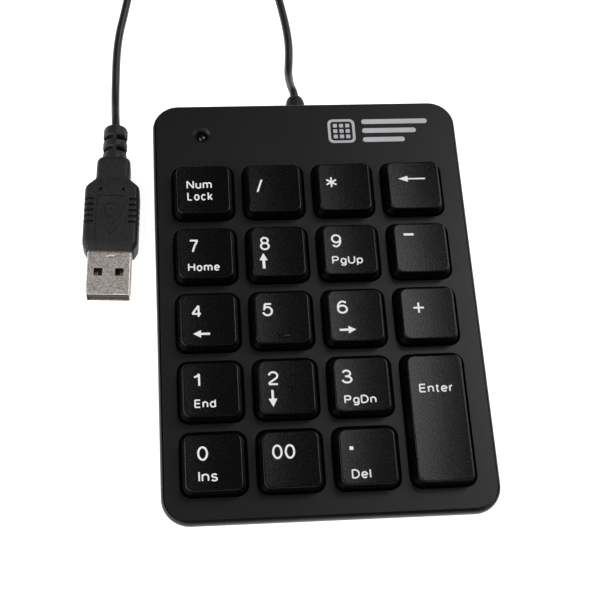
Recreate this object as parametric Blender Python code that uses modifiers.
"""Wired numeric keypad: 19 sprung keys in a two-part case, with its cord and USB plug.

Frame: metres, +X right, +Y away from the user, +Z up. The origin is on the surface that the
keypad stands on, under the middle of its case. Keys slide along Z on plungers; the enter key
is two rows tall and is kept level by a wire that turns in two saddles.
"""
from math import cos, pi, radians, sin

import bmesh
import bpy
from mathutils import Matrix, Vector

MM = 0.001

# Fits
GAP = 0.3 * MM  # between pieces that touch on the real object
FILM_GAP = 0.2 * MM  # between the thin sheets of the membrane
RUN_FIT = 0.3 * MM  # on the radius, plunger in its guide
KEY_FIT = 0.25 * MM  # round a keycap in its well

# Case
LEFT_MARGIN = 4.75 * MM  # from the outermost key wells to the case's sides
RIGHT_MARGIN = 6.05 * MM
FRONT_MARGIN = 6.5 * MM
BACK_MARGIN = 20.3 * MM
CASE_CORNER = 7.2 * MM
LEDGE = 0.8 * MM  # how far the lower shell stands out past the upper one
PANEL_TOP = 14.0 * MM
PANEL_THICK = 2.0 * MM
PANEL_EDGE = 0.35 * MM
SKIRT_HEIGHT = 1.2 * MM  # upper shell's visible side, under the panel's top
RIM_BAND = 1.0 * MM  # upright band at the top of the lower shell
SHELL_TAPER = 2.6 * MM  # how far the lower shell draws in towards its underside
BASE_ROUND = 1.4 * MM
WALL = 1.9 * MM
UNDERSIDE = 0.8 * MM
FLOOR_THICK = 1.8 * MM
LIP_WALL = 1.4 * MM
LIP_DEPTH = 1.5 * MM

# Keys
KEY_PITCH = 19.05 * MM
COLUMNS = 4
ROWS = 5
KEY_WIDTH = 16.5 * MM
KEY_DEPTH = 16.4 * MM
KEY_CORNER = 2.7 * MM
KEY_RISE = 4.2 * MM  # key top above the panel
KEY_SUNK = 0.8 * MM  # skirt below the panel's top
TOP_SIDE_INSET = 1.27 * MM
TOP_FRONT_INSET = 0.3 * MM
TOP_BACK_INSET = 1.8 * MM
TOP_CORNER = 1.7 * MM
TOP_ROUND = 0.45 * MM
CAP_WALL = 1.2 * MM
CAP_TOP = 1.3 * MM
KEY_TRAVEL = 2.8 * MM
STOP_FIT = 0.2 * MM  # skirt over the guide floor when the key is down
GUIDE_THICK = 1.0 * MM
FIELD_WALL = 1.2 * MM  # outside the outermost wells
STEM_RADIUS = 2.5 * MM
COLLAR_RADIUS = 3.2 * MM
COLLAR_HEIGHT = 0.8 * MM
BUMP_LENGTH = 3.6 * MM
BUMP_WIDTH = 0.9 * MM
BUMP_HEIGHT = 0.4 * MM
BUMP_BACK = 2.0 * MM  # from the front edge of the key top

# Membrane and domes
FILM = 0.2 * MM
FILM_INSET = 0.6 * MM  # edge of the sheets inside the outermost key wells
SHEET = 0.8 * MM
DOME_BASE_RADIUS = 4.6 * MM
DOME_TOP_RADIUS = 3.0 * MM
DOME_WALL = 0.5 * MM
TAIL_DEPTH = 7.8 * MM

# Case screws, feet
SCREW_RADIUS = 1.1 * MM
SCREW_FIT = 0.15 * MM
HEAD_RADIUS = 2.2 * MM
HEAD_HEIGHT = 1.5 * MM
BOSS_WALL = 1.25 * MM
LOW_BOSS_RADIUS = 3.8 * MM
LOW_BOSS_RISE = 1.6 * MM
REAR_SCREW_INSET = 7.65 * MM  # from the case's side
REAR_SCREW_BEHIND = 4.95 * MM  # behind the key wells
FOOT_RADIUS = 3.5 * MM
FOOT_RECESS = 0.8 * MM
FOOT_SPACE = 1.25 * MM  # between a rear foot and the screw's head, in plan
FOOT_INSET_ENDS = 8.35 * MM  # from its front and its back

# Controller
BOARD_BEHIND = 3.75 * MM  # behind the key wells
BOARD_WIDTH = 44.2 * MM
BOARD_SHORT = 4.95 * MM  # from the board's back edge to the case's back
BOARD_THICK = 1.2 * MM
CLAMP_BEHIND = 5.95 * MM
CLAMP_LENGTH = 32.0 * MM
CLAMP_WIDTH = 3.2 * MM
CLAMP_HEIGHT = 2.4 * MM
CLAMP_SCREW_RADIUS = 0.8 * MM
CLAMP_SCREW_INSET = 1.8 * MM
CAPACITOR_ASIDE = 6.85 * MM  # to the left of the cord's socket
CHIP_ASIDE = 13.85 * MM
CRYSTAL_ASIDE = 22.25 * MM
LEAD_LENGTH = 1.0 * MM
LIGHT_ASIDE = 0.3 * MM  # to the right of the first column's middle
LIGHT_BEHIND = 10.05 * MM
LIGHT_RADIUS = 1.5 * MM
LIGHT_SUNK = 0.9 * MM
LIGHT_HOLE_FIT = 0.2 * MM
LIGHT_CHAMFER = 0.7 * MM

# Enter stabilizer
WIRE = 1.0 * MM
WIRE_HALF_LENGTH = 12.0 * MM
WIRE_ARM = 9.0 * MM
WIRE_PIN = 3.0 * MM
WIRE_REST = radians(19.0)
WIRE_PIVOT_X = -4.6 * MM  # from the middle of the enter key
WIRE_RISE = 1.6 * MM  # pivot above the guide floor
WIRE_FIT = 0.35 * MM
SADDLE_WALL = 0.8 * MM
CLIP_THICK = 1.2 * MM

# Cord, gland and plug
CORD = 2.4 * MM
GLAND_X = -1.75 * MM
GLAND_Z = 7.0 * MM
GLAND_RADIUS = 2.7 * MM
GLAND_NECK_RADIUS = 2.0 * MM
GLAND_FLANGE = 1.4 * MM
GLAND_REACH = 5.9 * MM
PAD_WIDTH = 8.4 * MM  # upright pad of the back wall, which the gland sits in
PAD_THICK = 2.4 * MM
PAD_SETBACK = 0.3 * MM  # behind the rim
COIL_X = -26.6 * MM
COIL_Y = 126.6 * MM
COIL_MID_RADIUS = 14.0 * MM
COIL_TURNS_WIDE = 4
COIL_TURNS_HIGH = 2
TIE_THICK = 0.4 * MM
TIE_WIDTH = 5.0 * MM
PLUG_ASIDE = 10.525 * MM  # from the case's left side to the plug's cord end
PLUG_Y = 58.2 * MM
PLUG_TURN = radians(177.3)  # nose towards the user, leaning a little to the left
RELIEF_RADIUS = 3.4 * MM
RELIEF_LENGTH = 11.0 * MM
RELIEF_COLLAR = 2.6 * MM
NECK_WIDTH = 9.2 * MM
NECK_LENGTH = 6.9 * MM
FLARE_LENGTH = 2.4 * MM
GRIP_WIDTH = 15.0 * MM
GRIP_LENGTH = 19.4 * MM
GRIP_HEIGHT = 8.0 * MM
NOSE_ROUND = 2.0 * MM
SHELL_WIDTH = 12.0 * MM
SHELL_HEIGHT = 4.5 * MM
SHELL_SHEET = 0.3 * MM
SHELL_OUT = 12.8 * MM
SHELL_IN = 5.0 * MM
WINDOW = 2.3 * MM
WINDOW_X = 2.85 * MM
WINDOW_FROM_MOUTH = 6.6 * MM
TONGUE_THICK = 1.85 * MM
TONGUE_SETBACK = 0.6 * MM
CONTACT_PITCH = 2.3 * MM
CONTACT_WIDTH = 1.0 * MM
CONTACT_LENGTH = 7.0 * MM
CONTACT_THICK = 0.25 * MM

# The cord's own points, outside the coil: from the gland, and from the plug
KEYPAD_ROUTE = [
    (-1.78, 66.3, 7.0), (-1.95, 68.2, 6.75), (-2.4, 72.2, 4.4), (-2.5, 77.5, 1.9),
    (-2.05, 82.5, 1.25), (-1.75, 88.0, 1.2), (-2.1, 94.0, 1.2), (-2.9, 100.0, 1.2),
    (-3.9, 106.0, 1.2), (-5.1, 111.5, 1.2), (-6.35, 116.5, 1.25), (-7.3, 120.0, 1.4),
]
PLUG_ROUTE = [
    (-53.0, 58.5, 4.0), (-53.1, 61.9, 3.55), (-53.2, 67.0, 2.0), (-53.2, 72.5, 1.25),
    (-53.05, 78.0, 1.2), (-52.86, 83.3, 1.2), (-52.4, 89.0, 1.2), (-51.6, 94.5, 1.2),
    (-50.5, 99.7, 1.2), (-49.4, 105.3, 1.2), (-48.1, 111.0, 1.2), (-46.9, 116.0, 1.3),
    (-46.1, 119.6, 1.7),
]

# Heights and places worked out from the sizes above
WELL_WIDTH = KEY_WIDTH + 2 * KEY_FIT
WELL_DEPTH = KEY_DEPTH + 2 * KEY_FIT
FIELD_HALF_X = (COLUMNS - 1) / 2 * KEY_PITCH + WELL_WIDTH / 2
FIELD_HALF_Y = (ROWS - 1) / 2 * KEY_PITCH + WELL_DEPTH / 2
CASE_WIDTH = 2 * FIELD_HALF_X + LEFT_MARGIN + RIGHT_MARGIN
CASE_DEPTH = 2 * FIELD_HALF_Y + FRONT_MARGIN + BACK_MARGIN
FIELD_X = (LEFT_MARGIN - RIGHT_MARGIN) / 2  # middle of the columns
FIELD_Y = (FRONT_MARGIN - BACK_MARGIN) / 2  # middle of the rows
FIELD_BACK = FIELD_Y + FIELD_HALF_Y
RIM_TOP = PANEL_TOP - SKIRT_HEIGHT - GAP
FLOOR_TOP = UNDERSIDE + FLOOR_THICK
LOW_FILM = FLOOR_TOP + FILM_GAP
SPACER_FILM = LOW_FILM + FILM + FILM_GAP
HIGH_FILM = SPACER_FILM + FILM + FILM_GAP
SHEET_LOW = HIGH_FILM + FILM + FILM_GAP
SHEET_TOP = SHEET_LOW + SHEET
SKIRT_LOW = PANEL_TOP - KEY_SUNK
GUIDE_TOP = SKIRT_LOW - KEY_TRAVEL - STOP_FIT
GUIDE_LOW = GUIDE_TOP - GUIDE_THICK
STEM_LOW = GUIDE_LOW - FILM_GAP - COLLAR_HEIGHT
DOME_TOP = STEM_LOW - FILM_GAP
KEY_TOP = PANEL_TOP + KEY_RISE
CEILING = KEY_TOP - CAP_TOP
BORE_RADIUS = STEM_RADIUS + RUN_FIT
BOARD_LOW = HIGH_FILM + FILM + 2 * GAP
BOARD_TOP = BOARD_LOW + BOARD_THICK
BOARD_LEFT = SHELL_TAPER + WALL + GAP - CASE_WIDTH / 2
BOARD_RIGHT = BOARD_LEFT + BOARD_WIDTH
BOARD_FRONT = FIELD_BACK + BOARD_BEHIND
BOARD_BACK = CASE_DEPTH / 2 - BOARD_SHORT
CLAMP_Y = FIELD_BACK + CLAMP_BEHIND
CLAMP_RIGHT = BOARD_RIGHT - MM
CLAMP_LEFT = CLAMP_RIGHT - CLAMP_LENGTH
LIGHT_X = FIELD_X - (COLUMNS - 1) / 2 * KEY_PITCH + LIGHT_ASIDE
LIGHT_Y = FIELD_BACK + LIGHT_BEHIND
REAR_SCREW_X = CASE_WIDTH / 2 - REAR_SCREW_INSET
REAR_SCREW_Y = FIELD_BACK + REAR_SCREW_BEHIND
FOOT_X = REAR_SCREW_X - HEAD_RADIUS - FOOT_SPACE - FOOT_RADIUS
FOOT_Y = CASE_DEPTH / 2 - FOOT_INSET_ENDS
BOSS_RADIUS = SCREW_RADIUS + SCREW_FIT + BOSS_WALL
LOW_BOSS_TOP = FLOOR_TOP + LOW_BOSS_RISE
HEAD_LOW = UNDERSIDE + 0.6 * MM
SCREW_TOP = GUIDE_LOW - GAP
CORD_RADIUS = CORD / 2
PAD_OUTSIDE = CASE_DEPTH / 2 - PAD_SETBACK
PAD_INSIDE = PAD_OUTSIDE - PAD_THICK
GLAND_INSIDE = PAD_INSIDE - FILM_GAP - GLAND_FLANGE
PARTS_FRONT = CLAMP_Y + CLAMP_WIDTH / 2 + GAP
PARTS_ROOM = GLAND_INSIDE - LEAD_LENGTH - PARTS_FRONT  # behind the clamp bar, front to back
PARTS_Y = PARTS_FRONT + PARTS_ROOM / 2
SOCKET_DEPTH = 0.62 * PARTS_ROOM
COIL_HALF_WIDTH = COIL_TURNS_WIDE * CORD_RADIUS
COIL_LOW = TIE_THICK + GAP
COIL_TOP = COIL_LOW + COIL_TURNS_HIGH * CORD
NOSE = RELIEF_LENGTH + NECK_LENGTH + FLARE_LENGTH + GRIP_LENGTH
GRIP_MIDDLE = GRIP_HEIGHT / 2
SHELL_BACK = NOSE - SHELL_IN
PLUG_X = -CASE_WIDTH / 2 - PLUG_ASIDE
SHELL_MOUTH = NOSE + SHELL_OUT

# name, column, row (0 at the back), rows tall
KEYS = [
    ("key_num_lock", 0, 0, 1), ("key_divide", 1, 0, 1),
    ("key_multiply", 2, 0, 1), ("key_backspace", 3, 0, 1),
    ("key_7", 0, 1, 1), ("key_8", 1, 1, 1), ("key_9", 2, 1, 1), ("key_minus", 3, 1, 1),
    ("key_4", 0, 2, 1), ("key_5", 1, 2, 1), ("key_6", 2, 2, 1), ("key_plus", 3, 2, 1),
    ("key_1", 0, 3, 1), ("key_2", 1, 3, 1), ("key_3", 2, 3, 1), ("key_enter", 3, 3, 2),
    ("key_0", 0, 4, 1), ("key_00", 1, 4, 1), ("key_decimal", 2, 4, 1),
]


def key_place(column, row, rows_tall):
    """Middle of a key in plan."""
    x = FIELD_X + (column - (COLUMNS - 1) / 2) * KEY_PITCH
    y = FIELD_Y + ((ROWS - 1) / 2 - row - (rows_tall - 1) / 2) * KEY_PITCH
    return x, y


def key_depth(rows_tall):
    """Front to back size of a keycap's skirt."""
    return KEY_DEPTH + (rows_tall - 1) * KEY_PITCH


def screw_places():
    """The six case screws: four between the keys, two behind them."""
    left, right = FIELD_X - KEY_PITCH, FIELD_X + KEY_PITCH
    front, back = FIELD_Y - 1.5 * KEY_PITCH, FIELD_Y + 1.5 * KEY_PITCH
    between = [(x, y) for y in (front, back) for x in (left, right)]
    return between + [(-REAR_SCREW_X, REAR_SCREW_Y), (REAR_SCREW_X, REAR_SCREW_Y)]


# Scene, materials, objects


def clear_scene():
    """Removes every object and collection that the file starts with."""
    for thing in list(bpy.data.objects):
        bpy.data.objects.remove(thing)
    for group in list(bpy.data.collections):
        bpy.data.collections.remove(group)


def new_collection(name):
    group = bpy.data.collections.new(name)
    bpy.context.scene.collection.children.link(group)
    return group


def plain_material(name, colour, roughness, metallic=0.0):
    """One Principled material."""
    made = bpy.data.materials.new(name)
    made.use_nodes = True
    shader = made.node_tree.nodes["Principled BSDF"]
    shader.inputs["Base Color"].default_value = (*colour, 1.0)
    shader.inputs["Roughness"].default_value = roughness
    shader.inputs["Metallic"].default_value = metallic
    made.diffuse_color = (*colour, 1.0)
    return made


def place(data, name, material=None, place_at=(0, 0, 0)):
    """A new object: a named part if it has a material, a hidden cutter if it has none."""
    thing = bpy.data.objects.new(name, data)
    thing.location = place_at
    if material is None:
        CUTTERS.objects.link(thing)
        thing.hide_render = True
        thing.display_type = "WIRE"
        return thing
    PARTS.objects.link(thing)
    data.materials.clear()
    data.materials.append(material)
    return thing


def mesh_of(bm, name):
    """Turns a bmesh into a mesh."""
    bmesh.ops.recalc_face_normals(bm, faces=bm.faces)
    data = bpy.data.meshes.new(name)
    bm.to_mesh(data)
    bm.free()
    return data


def baked(thing, name):
    """The mesh of an object with its modifiers applied; the object itself is removed."""
    bpy.context.view_layer.update()
    view = thing.evaluated_get(bpy.context.evaluated_depsgraph_get())
    data = bpy.data.meshes.new_from_object(view)
    data.name = name
    bpy.data.objects.remove(thing)
    return data


def boolean(thing, other, operation):
    """Cuts or joins with the exact solver."""
    step = thing.modifiers.new(operation.lower(), "BOOLEAN")
    step.operation = operation
    step.solver = "EXACT"
    step.object = other


def round_shading(thing, angle=35):
    """Smooth shading with the real corners kept sharp."""
    thing.data.shade_smooth()
    thing.data.set_sharp_from_angle(angle=radians(angle))


# Shapes


def outline(x0, x1, y0, y1, radius, steps):
    """Rounded rectangle, anticlockwise from its front right corner."""
    corners = [(x1 - radius, y0 + radius, -90), (x1 - radius, y1 - radius, 0),
               (x0 + radius, y1 - radius, 90), (x0 + radius, y0 + radius, 180)]
    points = []
    for x, y, start in corners:
        for i in range(steps + 1):
            angle = radians(start + 90 * i / steps)
            points.append((x + radius * cos(angle), y + radius * sin(angle)))
    return points


def add_loft(bm, sections, steps=2):
    """A closed solid through level rounded rectangles: (z, x0, x1, y0, y1, radius) each."""
    rings = []
    for z, *rectangle in sections:
        points = outline(*rectangle, steps)
        rings.append([bm.verts.new((x, y, z)) for x, y in points])
    count = len(rings[0])
    for low, high in zip(rings, rings[1:]):
        for i in range(count):
            j = (i + 1) % count
            bm.faces.new((low[i], low[j], high[j], high[i]))
    bm.faces.new(reversed(rings[0]))
    bm.faces.new(rings[-1])


def add_block(bm, x, y, width, depth, low, high, radius=0.0):
    """An upright block with rounded upright edges, centred at x, y."""
    before = set(bm.faces)
    corners = bmesh.ops.create_cube(bm, size=1.0)["verts"]
    for v in corners:
        v.co = Vector((x + v.co.x * width, y + v.co.y * depth, low if v.co.z < 0 else high))
    if radius:
        edges = {e for f in bm.faces if f not in before for e in f.edges}
        upright = [e for e in edges if abs(e.verts[0].co.z - e.verts[1].co.z) > (high - low) / 2]
        bmesh.ops.bevel(bm, geom=upright, offset=radius, segments=2, profile=0.5, affect="EDGES")


def add_cylinder(bm, x, y, low, high, radius, top_radius=None, segments=12):
    """An upright cylinder or cone."""
    middle = Matrix.Translation((x, y, (low + high) / 2))
    bmesh.ops.create_cone(bm, cap_ends=True, segments=segments, radius1=radius,
                          radius2=radius if top_radius is None else top_radius,
                          depth=high - low, matrix=middle)


def turned(profile, name, steps=16, closed=False):
    """Mesh turned about Z from (radius, z) points, which run down its outer side."""
    bm = bmesh.new()
    points = [bm.verts.new((r, 0, z)) for r, z in profile]
    for a, b in zip(points, points[1:]):
        bm.edges.new((a, b))
    if closed:
        bm.edges.new((points[-1], points[0]))
    data = bpy.data.meshes.new(name)
    bm.to_mesh(data)
    bm.free()
    lathe = place(data, name)
    screw = lathe.modifiers.new("turn", "SCREW")
    screw.steps = screw.render_steps = steps
    screw.use_merge_vertices = True
    screw.merge_threshold = 0.01 * MM
    return baked(lathe, name)


def smooth_route(points, spacing):
    """Points at an even spacing along a smooth curve through the given ones, in metres."""
    knots = [Vector(p) * MM for p in points]
    ends = [2 * knots[0] - knots[1], *knots, 2 * knots[-1] - knots[-2]]
    fine = []
    for a, b, c, d in zip(ends, ends[1:], ends[2:], ends[3:]):
        for i in range(20):
            t = i / 20
            fine.append(0.5 * (2 * b + (c - a) * t + (2 * a - 5 * b + 4 * c - d) * t * t
                               + (3 * b - a - 3 * c + d) * t ** 3))
    fine.append(knots[-1])
    length = sum((b - a).length for a, b in zip(fine, fine[1:]))
    step = length / round(length / spacing)
    spaced, travelled = [fine[0]], 0.0
    for a, b in zip(fine, fine[1:]):
        travelled += (b - a).length
        if travelled >= step * len(spaced) - 1e-9:
            spaced.append(b)
    spaced[-1] = fine[-1]
    return spaced


def tube(name, points, radius, material):
    """A round wire or cord along points, as a curve with filled ends."""
    data = bpy.data.curves.new(name, "CURVE")
    data.dimensions = "3D"
    data.bevel_depth = radius
    data.bevel_resolution = 2
    data.use_fill_caps = True
    data.render_resolution_u = 0
    line = data.splines.new("POLY")
    line.points.add(len(points) - 1)
    for point, at in zip(line.points, points):
        point.co = (*at, 1.0)
    return place(data, name, material)


# Case


def case_rectangle(inset):
    """The case's plan outline, drawn in by inset, with its corner radius."""
    x, y = CASE_WIDTH / 2 - inset, CASE_DEPTH / 2 - inset
    return -x, x, -y, y, max(CASE_CORNER - inset, 0.6 * MM)


def well_blocks():
    """Cutter mesh of all key wells."""
    bm = bmesh.new()
    for _, column, row, rows_tall in KEYS:
        x, y = key_place(column, row, rows_tall)
        depth = key_depth(rows_tall) + 2 * KEY_FIT
        add_block(bm, x, y, WELL_WIDTH, depth, GUIDE_TOP, PANEL_TOP + MM, KEY_CORNER + KEY_FIT)
    return mesh_of(bm, "well_cutter")


def guide_bores():
    """Cutter mesh of the plunger guides, the light's hole and the screws' pilot holes."""
    bm = bmesh.new()
    for _, column, row, rows_tall in KEYS:
        x, y = key_place(column, row, rows_tall)
        add_cylinder(bm, x, y, GUIDE_LOW - MM, GUIDE_TOP + MM, BORE_RADIUS)
    for x, y in screw_places():
        add_cylinder(bm, x, y, LOW_BOSS_TOP, SCREW_TOP + GAP / 2, SCREW_RADIUS + SCREW_FIT,
                     segments=12)
    hole = LIGHT_RADIUS + LIGHT_HOLE_FIT
    add_cylinder(bm, LIGHT_X, LIGHT_Y, PANEL_TOP - PANEL_THICK - MM, PANEL_TOP - LIGHT_CHAMFER,
                 hole, segments=20)
    return mesh_of(bm, "bore_cutter")


def light_countersink():
    """Cutter mesh of the slanted edge round the light's hole."""
    bm = bmesh.new()
    hole = LIGHT_RADIUS + LIGHT_HOLE_FIT
    add_cylinder(bm, LIGHT_X, LIGHT_Y, PANEL_TOP - LIGHT_CHAMFER - 0.05 * MM, PANEL_TOP + 0.05 * MM,
                 hole, hole + LIGHT_CHAMFER, segments=20)
    return mesh_of(bm, "countersink_cutter")


def upper_inside():
    """Plan outline of the hollow inside the upper shell's lip."""
    return case_rectangle(WALL + GAP + LIP_WALL)


def stabilizer_saddles(bm):
    """Two U-shaped saddles on the enter key's guide floor, for the wire to turn in."""
    x, y = key_place(3, 3, 2)
    pivot = x + WIRE_PIVOT_X
    inner = WIRE / 2 + WIRE_FIT
    for side in (-1, 1):
        for end in (-1, 1):
            add_block(bm, pivot + side * (inner + SADDLE_WALL / 2),
                      y + end * (WIRE_HALF_LENGTH - 3.5 * MM), SADDLE_WALL, 3.0 * MM,
                      GUIDE_TOP - 0.2 * MM, GUIDE_TOP + WIRE_RISE + WIRE)


def make_top_case():
    """Upper shell: panel, skirt, locating lip, key wells with plunger guides, screw bosses."""
    panel = bmesh.new()
    outer = case_rectangle(LEDGE)
    edge = case_rectangle(LEDGE + PANEL_EDGE)
    lip = case_rectangle(WALL + GAP)
    add_loft(panel, [(RIM_TOP + GAP, *outer), (PANEL_TOP - PANEL_EDGE, *outer), (PANEL_TOP, *edge)], 4)
    top = place(mesh_of(panel, "top_case"), "top_case", CASE_PLASTIC)

    lip_ring = bmesh.new()
    add_loft(lip_ring, [(RIM_TOP - LIP_DEPTH, *lip), (PANEL_TOP - PANEL_THICK / 2, *lip)], 4)
    boolean(top, place(mesh_of(lip_ring, "lip_body"), "lip_body"), "UNION")

    hollow = bmesh.new()
    add_loft(hollow, [(RIM_TOP - LIP_DEPTH - MM, *upper_inside()),
                      (PANEL_TOP - PANEL_THICK, *upper_inside())], 4)
    boolean(top, place(mesh_of(hollow, "upper_hollow"), "upper_hollow"), "DIFFERENCE")

    field = bmesh.new()
    half_x, half_y = FIELD_HALF_X + FIELD_WALL, FIELD_HALF_Y + FIELD_WALL
    add_block(field, FIELD_X, FIELD_Y, 2 * half_x, 2 * half_y, GUIDE_LOW,
              PANEL_TOP - PANEL_THICK / 2, KEY_CORNER + FIELD_WALL)
    boolean(top, place(mesh_of(field, "field_body"), "field_body"), "UNION")

    bosses = bmesh.new()
    for x, y in screw_places():
        high = GUIDE_LOW + GUIDE_THICK / 2 if abs(y) < BOARD_FRONT else PANEL_TOP - PANEL_THICK / 2
        add_cylinder(bosses, x, y, LOW_BOSS_TOP + FILM_GAP, high, BOSS_RADIUS, segments=14)
    boolean(top, place(mesh_of(bosses, "boss_bodies"), "boss_bodies"), "UNION")

    for name, data in (("wells", well_blocks()), ("bores", guide_bores()),
                       ("countersink", light_countersink())):
        boolean(top, place(data, name), "DIFFERENCE")

    saddles = bmesh.new()
    stabilizer_saddles(saddles)
    boolean(top, place(mesh_of(saddles, "saddle_bodies"), "saddle_bodies"), "UNION")
    return top


def make_bottom_case():
    """Lower shell: tapered tray with a rim, screw bosses, board posts and a hole for the gland."""
    bm = bmesh.new()
    low, lifted = case_rectangle(SHELL_TAPER + BASE_ROUND), case_rectangle(SHELL_TAPER)
    rim = case_rectangle(0.0)
    add_loft(bm, [(UNDERSIDE, *low), (UNDERSIDE + BASE_ROUND, *lifted),
                  (RIM_TOP - RIM_BAND, *rim), (RIM_TOP, *rim)], 4)
    bottom = place(mesh_of(bm, "bottom_case"), "bottom_case", CASE_PLASTIC)

    inside = bmesh.new()
    add_loft(inside, [(FLOOR_TOP, *case_rectangle(SHELL_TAPER + WALL)),
                      (RIM_TOP - RIM_BAND, *case_rectangle(WALL)),
                      (RIM_TOP + MM, *case_rectangle(WALL))], 4)
    boolean(bottom, place(mesh_of(inside, "lower_hollow"), "lower_hollow"), "DIFFERENCE")

    raised = bmesh.new()
    add_block(raised, GLAND_X, (PAD_INSIDE + PAD_OUTSIDE) / 2, PAD_WIDTH, PAD_THICK,
              FLOOR_TOP, RIM_TOP - LIP_DEPTH - GAP)
    for x, y in screw_places():
        add_cylinder(raised, x, y, FLOOR_TOP - FLOOR_THICK / 2, LOW_BOSS_TOP, LOW_BOSS_RADIUS)
    for x in clamp_screw_places():
        add_cylinder(raised, x, CLAMP_Y, FLOOR_TOP - FLOOR_THICK / 2, BOARD_LOW - FILM_GAP,
                     1.8 * MM, segments=12)
    boolean(bottom, place(mesh_of(raised, "raised_bodies"), "raised_bodies"), "UNION")

    holes = bmesh.new()
    for x, y in screw_places():
        add_cylinder(holes, x, y, UNDERSIDE - MM, HEAD_LOW + HEAD_HEIGHT + GAP / 2,
                     HEAD_RADIUS + GAP)
    for x in (-FOOT_X, FOOT_X):
        for y in (-FOOT_Y, FOOT_Y):
            add_cylinder(holes, x, y, UNDERSIDE - MM, UNDERSIDE + FOOT_RECESS,
                         FOOT_RADIUS + FILM_GAP, segments=24)
    boolean(bottom, place(mesh_of(holes, "recesses"), "recesses"), "DIFFERENCE")

    shanks = bmesh.new()
    for x, y in screw_places():
        add_cylinder(shanks, x, y, UNDERSIDE, LOW_BOSS_TOP + MM, SCREW_RADIUS + GAP, segments=12)
    for x in clamp_screw_places():
        add_cylinder(shanks, x, CLAMP_Y, FLOOR_TOP - MM, BOARD_LOW + MM,
                     CLAMP_SCREW_RADIUS + SCREW_FIT, segments=10)
    boolean(bottom, place(mesh_of(shanks, "shank_holes"), "shank_holes"), "DIFFERENCE")

    for name, radius, middle, reach in (
            ("gland_hole", GLAND_NECK_RADIUS + FILM_GAP, (PAD_INSIDE + PAD_OUTSIDE) / 2, PAD_THICK),
            ("flange_space", GLAND_RADIUS + GAP, PAD_INSIDE - 2.5 * MM, 2.5 * MM)):
        bm = bmesh.new()
        add_cylinder(bm, 0, 0, -reach, reach, radius)
        cut = place(mesh_of(bm, name), name, place_at=(GLAND_X, middle, GLAND_Z))
        cut.rotation_euler = (pi / 2, 0, 0)
        boolean(bottom, cut, "DIFFERENCE")
    return bottom


def make_feet():
    """Four rubber pads in their recesses."""
    bm = bmesh.new()
    top = UNDERSIDE + FOOT_RECESS - FILM_GAP
    add_cylinder(bm, 0, 0, 0, 0.4 * MM, FOOT_RADIUS - 0.3 * MM, FOOT_RADIUS, segments=20)
    bmesh.ops.delete(bm, geom=[f for f in bm.faces if f.normal.z > 0.9], context="FACES_ONLY")
    ring = [e for e in bm.edges if e.is_boundary]
    risen = bmesh.ops.extrude_edge_only(bm, edges=ring)["geom"]
    for v in [g for g in risen if isinstance(g, bmesh.types.BMVert)]:
        v.co.z = top
    bmesh.ops.holes_fill(bm, edges=[e for e in bm.edges if e.is_boundary])
    data = mesh_of(bm, "foot")
    places = [(x, y) for y in (-FOOT_Y, FOOT_Y) for x in (-FOOT_X, FOOT_X)]
    for i, (x, y) in enumerate(places, 1):
        round_shading(place(data, f"foot_{i}", RUBBER, (x, y, 0)))


def make_case_screws():
    """Six pan-head screws, driven from below, each with a cross recess."""
    shank_top = SCREW_TOP - HEAD_LOW
    head = HEAD_HEIGHT
    profile = [(0, shank_top), (SCREW_RADIUS, shank_top - 0.6 * MM), (SCREW_RADIUS, head),
               (HEAD_RADIUS, head), (HEAD_RADIUS, 0.5 * MM), (HEAD_RADIUS - 0.6 * MM, 0), (0, 0)]
    screw = place(turned(profile, "case_screw", 10), "screw_blank")
    bm = bmesh.new()
    add_block(bm, 0, 0, 2.4 * MM, 0.5 * MM, -MM, 0.7 * MM)
    slot = place(mesh_of(bm, "slot"), "slot")
    boolean(screw, slot, "DIFFERENCE")
    bm = bmesh.new()
    add_block(bm, 0, 0, 0.5 * MM, 2.4 * MM, -MM, 0.7 * MM)
    cross = place(mesh_of(bm, "slot_across"), "slot_across")
    boolean(screw, cross, "DIFFERENCE")
    data = baked(screw, "case_screw")
    for i, (x, y) in enumerate(screw_places(), 1):
        round_shading(place(data, f"case_screw_{i}", STEEL, (x, y, HEAD_LOW)))


# Keys


def keycap_sections(rows_tall, wall=0.0):
    """Sections of a keycap's outside, or of its hollow when a wall is given; z from SKIRT_LOW."""
    half_x = KEY_WIDTH / 2 - wall
    half_y = key_depth(rows_tall) / 2 - wall
    rise = KEY_TOP - SKIRT_LOW

    def section(height, draw_in=0.0):
        share = height / rise
        radius = KEY_CORNER + (TOP_CORNER - KEY_CORNER) * share - wall
        side = TOP_SIDE_INSET * share + draw_in
        return (height, side - half_x, half_x - side,
                TOP_FRONT_INSET * share + draw_in - half_y,
                half_y - TOP_BACK_INSET * share - draw_in, max(radius, 0.5 * MM))

    if wall:
        return [section(-0.5 * MM), section(CEILING - SKIRT_LOW)]
    return [section(0.0), section(rise - TOP_ROUND), section(rise - 0.3 * TOP_ROUND, 0.3 * TOP_ROUND),
            section(rise, TOP_ROUND)]


def stabilizer_clips(bm):
    """Two slotted tabs under the enter keycap; the wire's pins run in their slots."""
    tip_x = WIRE_PIVOT_X + WIRE_ARM * cos(WIRE_REST)
    low = GUIDE_TOP + KEY_TRAVEL + GAP - SKIRT_LOW
    for end in (-1, 1):
        y = end * (WIRE_HALF_LENGTH - WIRE_PIN / 2 - WIRE / 2)
        add_block(bm, tip_x, y, 4.4 * MM, CLIP_THICK, low, CEILING - SKIRT_LOW + 0.3 * MM)


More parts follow.
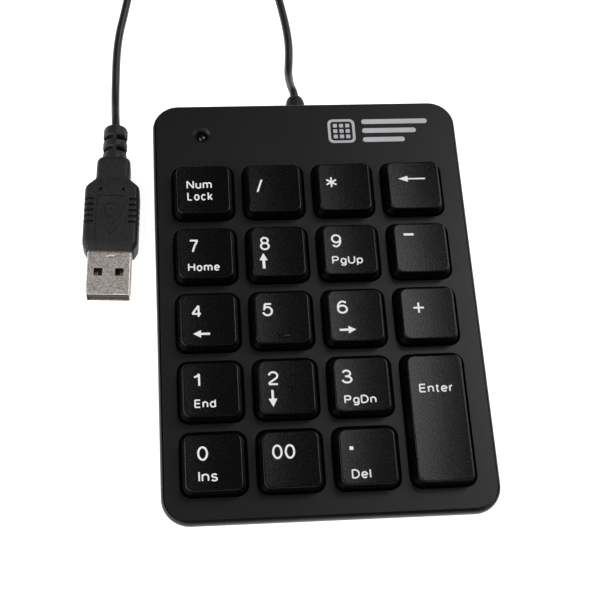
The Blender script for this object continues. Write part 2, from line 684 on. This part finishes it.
def stabilizer_slots():
    """Cutter mesh of the slots in those tabs, open to one side."""
    bm = bmesh.new()
    tip_x = WIRE_PIVOT_X + WIRE_ARM * cos(WIRE_REST)
    tip_z = GUIDE_TOP + WIRE_RISE + WIRE_ARM * sin(WIRE_REST) - SKIRT_LOW
    half = WIRE / 2 + WIRE_FIT
    left, right = tip_x - half, tip_x + half + 2.0 * MM
    add_block(bm, (left + right) / 2, 0, right - left, 2 * WIRE_HALF_LENGTH + 2 * MM,
              tip_z - half, tip_z + half)
    return mesh_of(bm, "clip_slots")


def keycap_mesh(rows_tall=1, bump=False):
    """A hollow keycap with its plunger, as a mesh whose origin is at the skirt's foot."""
    bm = bmesh.new()
    add_loft(bm, keycap_sections(rows_tall))
    cap = place(mesh_of(bm, "cap"), "cap")
    bm = bmesh.new()
    add_loft(bm, keycap_sections(rows_tall, CAP_WALL), 1)
    hollow = place(mesh_of(bm, "cap_hollow"), "cap_hollow")
    boolean(cap, hollow, "DIFFERENCE")
    low, collar = STEM_LOW - SKIRT_LOW, STEM_LOW + COLLAR_HEIGHT - SKIRT_LOW
    high = CEILING - SKIRT_LOW + 0.3 * MM
    profile = [(0, high), (STEM_RADIUS, high), (STEM_RADIUS, collar), (COLLAR_RADIUS, collar),
               (COLLAR_RADIUS, low), (0, low)]
    stem = place(turned(profile, "stem", 10), "stem")
    boolean(cap, stem, "UNION")
    if bump:
        bm = bmesh.new()
        y = TOP_FRONT_INSET - KEY_DEPTH / 2 + BUMP_BACK
        high = KEY_TOP - SKIRT_LOW + BUMP_HEIGHT
        add_block(bm, 0, y, BUMP_LENGTH, BUMP_WIDTH, high - MM, high, BUMP_WIDTH * 0.45)
        boolean(cap, place(mesh_of(bm, "bump"), "bump"), "UNION")
    if rows_tall > 1:
        bm = bmesh.new()
        stabilizer_clips(bm)
        boolean(cap, place(mesh_of(bm, "clips"), "clips"), "UNION")
        boolean(cap, place(stabilizer_slots(), "slots"), "DIFFERENCE")
    return baked(cap, "keycap")


def make_keys():
    """All nineteen keycaps; the single ones share one mesh."""
    single = keycap_mesh()
    special = {"key_5": keycap_mesh(bump=True), "key_enter": keycap_mesh(rows_tall=2)}
    for name, column, row, rows_tall in KEYS:
        x, y = key_place(column, row, rows_tall)
        round_shading(place(special.get(name, single), name, KEY_PLASTIC, (x, y, SKIRT_LOW)), 25)


def make_enter_stabilizer():
    """The enter key's levelling wire, with its origin on its turning axis."""
    x, y = key_place(3, 3, 2)
    tip_x, tip_z = WIRE_ARM * cos(WIRE_REST), WIRE_ARM * sin(WIRE_REST)
    half, pin = WIRE_HALF_LENGTH, WIRE_PIN
    points = [(tip_x, pin - half, tip_z), (tip_x, -half, tip_z), (0, -half, 0),
              (0, half, 0), (tip_x, half, tip_z), (tip_x, half - pin, tip_z)]
    wire = tube("enter_stabilizer", points, WIRE / 2, STEEL)
    wire.location = (x + WIRE_PIVOT_X, y, GUIDE_TOP + WIRE_RISE)
    return wire


# Membrane


def sheet_rectangle(inset=FILM_INSET):
    """Outline of the membrane sheets, just inside the outermost wells."""
    return (FIELD_X - FIELD_HALF_X + inset, FIELD_X + FIELD_HALF_X - inset,
            FIELD_Y - FIELD_HALF_Y + inset, FIELD_Y + FIELD_HALF_Y - inset, KEY_CORNER)


def boss_holes(low, high):
    """Cutter mesh that clears the screw bosses between the keys."""
    bm = bmesh.new()
    for x, y in screw_places()[:4]:
        add_cylinder(bm, x, y, low - MM, high + MM, LOW_BOSS_RADIUS + GAP)
    return mesh_of(bm, "sheet_holes")


def make_film(name, low, material, contact_holes=False):
    """One film of the membrane, with a tail that reaches under the controller board."""
    bm = bmesh.new()
    add_loft(bm, [(low, *sheet_rectangle()), (low + FILM, *sheet_rectangle())])
    film = place(mesh_of(bm, name), name, material)
    bm = bmesh.new()
    middle = (CLAMP_LEFT + CLAMP_RIGHT) / 2
    width = CLAMP_RIGHT - CLAMP_LEFT - 8.0 * MM
    add_block(bm, middle, FIELD_BACK + TAIL_DEPTH / 2 - MM, width, TAIL_DEPTH + 2 * MM, low,
              low + FILM)
    boolean(film, place(mesh_of(bm, f"{name}_tail"), f"{name}_tail"), "UNION")
    boolean(film, place(boss_holes(low, low + FILM), f"{name}_holes"), "DIFFERENCE")
    if contact_holes:
        bm = bmesh.new()
        for _, column, row, rows_tall in KEYS:
            x, y = key_place(column, row, rows_tall)
            add_cylinder(bm, x, y, low - MM, low + FILM + MM, 2.2 * MM, segments=6)
        boolean(film, place(mesh_of(bm, "contact_holes"), "contact_holes"), "DIFFERENCE")


def make_dome_mat():
    """Silicone sheet with a hollow dome under each key."""
    bm = bmesh.new()
    add_loft(bm, [(SHEET_LOW, *sheet_rectangle()),
                  (SHEET_TOP, *sheet_rectangle())])
    mat = place(mesh_of(bm, "dome_mat"), "dome_mat", SILICONE)
    domes, hollows = bmesh.new(), bmesh.new()
    for _, column, row, rows_tall in KEYS:
        x, y = key_place(column, row, rows_tall)
        add_cylinder(domes, x, y, SHEET_LOW + SHEET / 2, DOME_TOP, DOME_BASE_RADIUS,
                     DOME_TOP_RADIUS, segments=10)
        add_cylinder(hollows, x, y, SHEET_LOW - 0.1 * MM, DOME_TOP - 1.2 * MM,
                     DOME_BASE_RADIUS - DOME_WALL, DOME_TOP_RADIUS - DOME_WALL, segments=10)
    boolean(mat, place(mesh_of(domes, "domes"), "domes"), "UNION")
    boolean(mat, place(mesh_of(hollows, "dome_hollows"), "dome_hollows"), "DIFFERENCE")
    boolean(mat, place(boss_holes(SHEET_LOW, SHEET_TOP), "mat_holes"), "DIFFERENCE")


# Controller


def clamp_screw_places():
    """X of the two screws that hold the clamp bar and the board."""
    return CLAMP_LEFT + CLAMP_SCREW_INSET, CLAMP_RIGHT - CLAMP_SCREW_INSET


def make_controller_board():
    """Board behind the keys, notched round a screw boss, with two screw holes."""
    bm = bmesh.new()
    x, y = (BOARD_LEFT + BOARD_RIGHT) / 2, (BOARD_FRONT + BOARD_BACK) / 2
    add_block(bm, x, y, BOARD_RIGHT - BOARD_LEFT, BOARD_BACK - BOARD_FRONT, BOARD_LOW, BOARD_TOP,
              0.8 * MM)
    board = place(mesh_of(bm, "controller_board"), "controller_board", BOARD)
    bm = bmesh.new()
    add_cylinder(bm, -REAR_SCREW_X, REAR_SCREW_Y, BOARD_LOW - MM, BOARD_TOP + MM,
                 BOSS_RADIUS + GAP)
    for hole_x in clamp_screw_places():
        add_cylinder(bm, hole_x, CLAMP_Y, BOARD_LOW - MM, BOARD_TOP + MM,
                     CLAMP_SCREW_RADIUS + GAP, segments=10)
    boolean(board, place(mesh_of(bm, "board_holes"), "board_holes"), "DIFFERENCE")


def make_clamp_bar():
    """Bar that presses the film tails on the board's contacts."""
    bm = bmesh.new()
    low = BOARD_TOP + FILM_GAP
    add_block(bm, (CLAMP_LEFT + CLAMP_RIGHT) / 2, CLAMP_Y, CLAMP_RIGHT - CLAMP_LEFT, CLAMP_WIDTH,
              low, low + CLAMP_HEIGHT, 1.0 * MM)
    bar = place(mesh_of(bm, "film_clamp_bar"), "film_clamp_bar", CLAMP_METAL)
    bm = bmesh.new()
    for x in clamp_screw_places():
        add_cylinder(bm, x, CLAMP_Y, low - MM, low + CLAMP_HEIGHT + MM, CLAMP_SCREW_RADIUS + GAP,
                     segments=10)
    boolean(bar, place(mesh_of(bm, "clamp_holes"), "clamp_holes"), "DIFFERENCE")


def make_clamp_screws():
    """The bar's two small screws."""
    seat = BOARD_TOP + FILM_GAP + CLAMP_HEIGHT + FILM_GAP
    top, tip = seat + 1.0 * MM, FLOOR_TOP - 0.6 * MM
    profile = [(0, top), (1.1 * MM, top), (1.5 * MM, top - 0.4 * MM), (1.5 * MM, seat),
               (CLAMP_SCREW_RADIUS, seat), (CLAMP_SCREW_RADIUS, tip + 0.4 * MM), (0, tip)]
    data = turned(profile, "clamp_screw", 10)
    for i, x in enumerate(clamp_screw_places(), 1):
        round_shading(place(data, f"clamp_screw_{i}", STEEL, (x, CLAMP_Y, 0)))


def make_board_parts():
    """Chip, crystal, capacitor and the socket for the cord's inner lead."""
    low = BOARD_TOP + FILM_GAP
    for name, x, width, depth, height, radius, material in (
            ("controller_chip", GLAND_X - CHIP_ASIDE, 7.5 * MM, 0.73 * PARTS_ROOM, 1.8 * MM, 0.0, CHIP),
            ("crystal", GLAND_X - CRYSTAL_ASIDE, 6.0 * MM, 0.48 * PARTS_ROOM, 2.6 * MM, 0.22 * PARTS_ROOM, STEEL),
            ("lead_socket", GLAND_X, 6.0 * MM, SOCKET_DEPTH, 4.0 * MM, 0.0, SOCKET)):
        bm = bmesh.new()
        add_block(bm, x, PARTS_Y, width, depth, low, low + height, radius)
        place(mesh_of(bm, name), name, material)
    profile = [(0, 4.6 * MM), (1.8 * MM, 4.6 * MM), (2.0 * MM, 4.4 * MM), (2.0 * MM, 0), (0, 0)]
    x = GLAND_X - CAPACITOR_ASIDE
    can = place(turned(profile, "capacitor", 14), "capacitor", CAPACITOR, (x, PARTS_Y, low))
    round_shading(can)


def make_lock_light():
    """Lock light: domed lens, flange and body, and two legs down to the board."""
    top, flange = PANEL_TOP - LIGHT_SUNK, PANEL_TOP - PANEL_THICK - GAP
    body_low = flange - 2.2 * MM
    profile = [(0, top), (LIGHT_RADIUS * 0.55, top - 0.25 * MM),
               (LIGHT_RADIUS * 0.9, top - 0.8 * MM), (LIGHT_RADIUS, top - 1.4 * MM),
               (LIGHT_RADIUS, flange), (LIGHT_RADIUS + 0.4 * MM, flange),
               (LIGHT_RADIUS + 0.4 * MM, body_low), (0, body_low)]
    light = place(turned(profile, "num_lock_light", 16), "num_lock_light", LENS,
                  (LIGHT_X, LIGHT_Y, 0))
    bm = bmesh.new()
    for side in (-1, 1):
        add_block(bm, LIGHT_X + side * 0.9 * MM, LIGHT_Y, 0.5 * MM, 0.5 * MM,
                  BOARD_TOP + FILM_GAP, body_low + 0.5 * MM)
    boolean(light, place(mesh_of(bm, "light_legs"), "light_legs"), "UNION")
    round_shading(light)


# Cord, gland, coil


def make_gland():
    """Rubber gland: inner flange, neck in the wall, domed outer part round the cord."""
    neck_in, neck_out = PAD_INSIDE - FILM_GAP, PAD_OUTSIDE + FILM_GAP
    end = CASE_DEPTH / 2 + GLAND_REACH
    r = GLAND_RADIUS
    profile = [(0, end), (CORD_RADIUS + 0.2 * MM, end), (r * 0.72, end - 0.5 * MM),
               (r * 0.93, end - 1.4 * MM), (r, end - 2.6 * MM), (r, neck_out),
               (GLAND_NECK_RADIUS, neck_out), (GLAND_NECK_RADIUS, neck_in), (r, neck_in),
               (r, GLAND_INSIDE), (0, GLAND_INSIDE)]
    data = turned([(radius, z - GLAND_INSIDE) for radius, z in profile], "cable_gland", 16)
    gland = place(data, "cable_gland", RUBBER, (GLAND_X, GLAND_INSIDE, GLAND_Z))
    gland.rotation_euler = (-pi / 2, 0, 0)
    round_shading(gland)


def make_inner_lead():
    """Short inner lead from the gland to the socket on the board."""
    start = GLAND_INSIDE - FILM_GAP
    end = PARTS_Y + SOCKET_DEPTH / 2 + FILM_GAP
    points = [(GLAND_X, start, GLAND_Z), (GLAND_X, (start + end) / 2, GLAND_Z),
              (GLAND_X, end, GLAND_Z)]
    tube("inner_lead", points, 0.9 * MM, CORD_JACKET)


def make_cord():
    """The two stretches of cord outside the coil, the coil's outer shape and its tie."""
    for name, route in (("cable_run_keypad", KEYPAD_ROUTE), ("cable_run_plug", PLUG_ROUTE)):
        points = smooth_route(route, 2.6 * CORD)
        smooth_along(tube(name, points, CORD_RADIUS, CORD_JACKET))
    inner, outer = COIL_MID_RADIUS - COIL_HALF_WIDTH, COIL_MID_RADIUS + COIL_HALF_WIDTH
    cut = 0.5 * MM
    profile = [(outer - cut, COIL_TOP), (outer, COIL_TOP - cut), (outer, COIL_LOW + cut),
               (outer - cut, COIL_LOW), (inner + cut, COIL_LOW), (inner, COIL_LOW + cut),
               (inner, COIL_TOP - cut), (inner + cut, COIL_TOP)]
    coil = place(turned(profile, "cable_coil", 28, closed=True), "cable_coil", CORD_JACKET,
                 (COIL_X, COIL_Y, 0))
    round_shading(coil)
    bm = bmesh.new()
    low, high = inner - 1.1 * MM, outer + GAP + TIE_THICK
    add_block(bm, COIL_X, COIL_Y + (low + high) / 2, TIE_WIDTH, high - low, 0.0,
              COIL_TOP + GAP + TIE_THICK)
    tie = place(mesh_of(bm, "cable_tie"), "cable_tie", TIE)
    bm = bmesh.new()
    add_block(bm, COIL_X, COIL_Y + (low + high) / 2, TIE_WIDTH + 2 * MM,
              high - low - 2 * TIE_THICK, TIE_THICK, COIL_TOP + GAP)
    boolean(tie, place(mesh_of(bm, "tie_inside"), "tie_inside"), "DIFFERENCE")


def smooth_along(thing):
    """A cord is smooth along and round."""
    for line in thing.data.splines:
        line.use_smooth = True


# Plug, in its own frame: +Y from the cord to the mouth, z from the surface


def plug_object(data, name, material=None):
    """Places a plug piece on the plug's axis."""
    thing = place(data, name, material)
    thing.parent = PLUG_AXIS
    return thing


def make_plug_overmold():
    """Strain relief, neck, flare and grip in one moulding, with a pocket for the shell."""
    relief = [(0, RELIEF_LENGTH + MM), (RELIEF_RADIUS * 0.86, RELIEF_LENGTH + MM),
              (RELIEF_RADIUS * 0.86, RELIEF_COLLAR + 0.8 * MM), (RELIEF_RADIUS, RELIEF_COLLAR),
              (RELIEF_RADIUS, 0.6 * MM), (RELIEF_RADIUS - 0.6 * MM, 0), (0, 0)]
    bm = bmesh.new()
    y0 = RELIEF_LENGTH + NECK_LENGTH
    y1 = y0 + FLARE_LENGTH
    neck, grip = NECK_WIDTH / 2, GRIP_WIDTH / 2
    nose = grip - 0.3 * MM
    middle, high = GRIP_MIDDLE, GRIP_HEIGHT / 2
    # lofted upright along the plug's axis, then laid down with its mouth towards +Y
    add_loft(bm, [(RELIEF_LENGTH, -neck, neck, -3.6 * MM, 3.6 * MM, 1.4 * MM),
                  (y0, -neck, neck, -3.6 * MM, 3.6 * MM, 1.4 * MM),
                  (y1, -grip, grip, -high, high, 1.4 * MM),
                  (NOSE - NOSE_ROUND, -nose, nose, -high, high, 1.4 * MM),
                  (NOSE, -nose + 0.8 * NOSE_ROUND, nose - 0.8 * NOSE_ROUND,
                   -high + 0.6 * MM, high - 0.6 * MM, 1.0 * MM)], 2)
    bmesh.ops.transform(bm, matrix=Matrix.Translation((0, 0, middle)) @ Matrix.Rotation(-pi / 2, 4, "X"),
                        verts=bm.verts)
    body = plug_object(mesh_of(bm, "plug_overmold"), "plug_overmold", OVERMOLD)
    tail = plug_object(turned(relief, "relief_body", 16), "relief_body")
    tail.location = (0, 0, middle)
    tail.rotation_euler = (-pi / 2, 0, 0)
    boolean(body, tail, "UNION")
    bm = bmesh.new()
    y = (SHELL_BACK - GAP + NOSE + MM) / 2
    add_block(bm, 0, y, SHELL_WIDTH + 2 * GAP, NOSE + MM - SHELL_BACK + GAP,
              middle - SHELL_HEIGHT / 2 - GAP, middle + SHELL_HEIGHT / 2 + GAP)
    boolean(body, plug_object(mesh_of(bm, "shell_pocket"), "shell_pocket"), "DIFFERENCE")


def make_plug_shell():
    """Sheet-metal shell, open at its mouth and its back, with four windows."""
    bm = bmesh.new()
    middle = GRIP_MIDDLE
    length, y = SHELL_MOUTH - SHELL_BACK, (SHELL_MOUTH + SHELL_BACK) / 2
    add_block(bm, 0, y, SHELL_WIDTH, length, middle - SHELL_HEIGHT / 2, middle + SHELL_HEIGHT / 2)
    shell = plug_object(mesh_of(bm, "plug_shell"), "plug_shell", STEEL)
    bm = bmesh.new()
    add_block(bm, 0, y, SHELL_WIDTH - 2 * SHELL_SHEET, length + 2 * MM,
              middle - SHELL_HEIGHT / 2 + SHELL_SHEET, middle + SHELL_HEIGHT / 2 - SHELL_SHEET)
    boolean(shell, plug_object(mesh_of(bm, "shell_inside"), "shell_inside"), "DIFFERENCE")
    bm = bmesh.new()
    for side in (-1, 1):
        add_block(bm, side * WINDOW_X, SHELL_MOUTH - WINDOW_FROM_MOUTH, WINDOW, WINDOW,
                  middle - SHELL_HEIGHT, middle + SHELL_HEIGHT)
    boolean(shell, plug_object(mesh_of(bm, "windows"), "windows"), "DIFFERENCE")


def make_plug_tongue():
    """Insulator: a block that fills the shell's back, and the tongue under the contacts."""
    bm = bmesh.new()
    middle = GRIP_MIDDLE
    fit = SHELL_SHEET + FILM_GAP
    low = middle - SHELL_HEIGHT / 2 + fit
    width = SHELL_WIDTH - 2 * fit
    back, front = SHELL_BACK + GAP, SHELL_MOUTH - TONGUE_SETBACK
    add_block(bm, 0, (back + front) / 2, width, front - back, low, low + TONGUE_THICK)
    tongue = plug_object(mesh_of(bm, "plug_tongue"), "plug_tongue", TONGUE)
    bm = bmesh.new()
    add_block(bm, 0, back + 2.5 * MM, width, 5.0 * MM, low + TONGUE_THICK / 2,
              low + SHELL_HEIGHT - 2 * fit)
    boolean(tongue, plug_object(mesh_of(bm, "tongue_block"), "tongue_block"), "UNION")
    y = SHELL_MOUTH - TONGUE_SETBACK - 0.8 * MM - CONTACT_LENGTH / 2
    for i in range(4):
        bm = bmesh.new()
        high = low + TONGUE_THICK + 0.1 * MM
        add_block(bm, (i - 1.5) * CONTACT_PITCH, y, CONTACT_WIDTH, CONTACT_LENGTH, high,
                  high + CONTACT_THICK)
        plug_object(mesh_of(bm, f"plug_contact_{i + 1}"), f"plug_contact_{i + 1}", GOLD)


clear_scene()
PARTS = new_collection("numeric_keypad")
CUTTERS = new_collection("cutters")
PLUG_AXIS = bpy.data.objects.new("plug_axis", None)
CUTTERS.objects.link(PLUG_AXIS)
PLUG_AXIS.location = (PLUG_X, PLUG_Y, 0)
PLUG_AXIS.rotation_euler = (0, 0, PLUG_TURN)

CASE_PLASTIC = plain_material("case_plastic", (0.022, 0.022, 0.024), 0.55)
KEY_PLASTIC = plain_material("key_plastic", (0.012, 0.012, 0.013), 0.48)
RUBBER = plain_material("rubber", (0.016, 0.016, 0.016), 0.8)
SILICONE = plain_material("silicone", (0.55, 0.56, 0.56), 0.6)
FILM_CLEAR = plain_material("film", (0.62, 0.66, 0.62), 0.3)
FILM_SPACER = plain_material("spacer_film", (0.7, 0.7, 0.68), 0.4)
BOARD = plain_material("board", (0.02, 0.14, 0.05), 0.45)
CHIP = plain_material("chip", (0.015, 0.015, 0.015), 0.5)
SOCKET = plain_material("socket", (0.7, 0.68, 0.6), 0.5)
CAPACITOR = plain_material("capacitor_sleeve", (0.02, 0.03, 0.09), 0.35)
CLAMP_METAL = plain_material("clamp_metal", (0.55, 0.55, 0.55), 0.35, 1.0)
STEEL = plain_material("steel", (0.62, 0.6, 0.57), 0.3, 1.0)
LENS = plain_material("lens", (0.05, 0.12, 0.04), 0.2)
CORD_JACKET = plain_material("cord_jacket", (0.015, 0.015, 0.016), 0.5)
TIE = plain_material("tie", (0.02, 0.02, 0.02), 0.5)
OVERMOLD = plain_material("overmold", (0.022, 0.022, 0.024), 0.55)
TONGUE = plain_material("tongue", (0.75, 0.74, 0.7), 0.5)
GOLD = plain_material("gold", (0.8, 0.6, 0.25), 0.25, 1.0)

make_top_case()
make_bottom_case()
make_feet()
make_case_screws()
make_keys()
make_enter_stabilizer()
make_film("lower_contact_film", LOW_FILM, FILM_CLEAR)
make_film("spacer_film", SPACER_FILM, FILM_SPACER, contact_holes=True)
make_film("upper_contact_film", HIGH_FILM, FILM_CLEAR)
make_dome_mat()
make_controller_board()
make_clamp_bar()
make_clamp_screws()
make_board_parts()
make_lock_light()
make_gland()
make_inner_lead()
make_cord()
make_plug_overmold()
make_plug_shell()
make_plug_tongue()
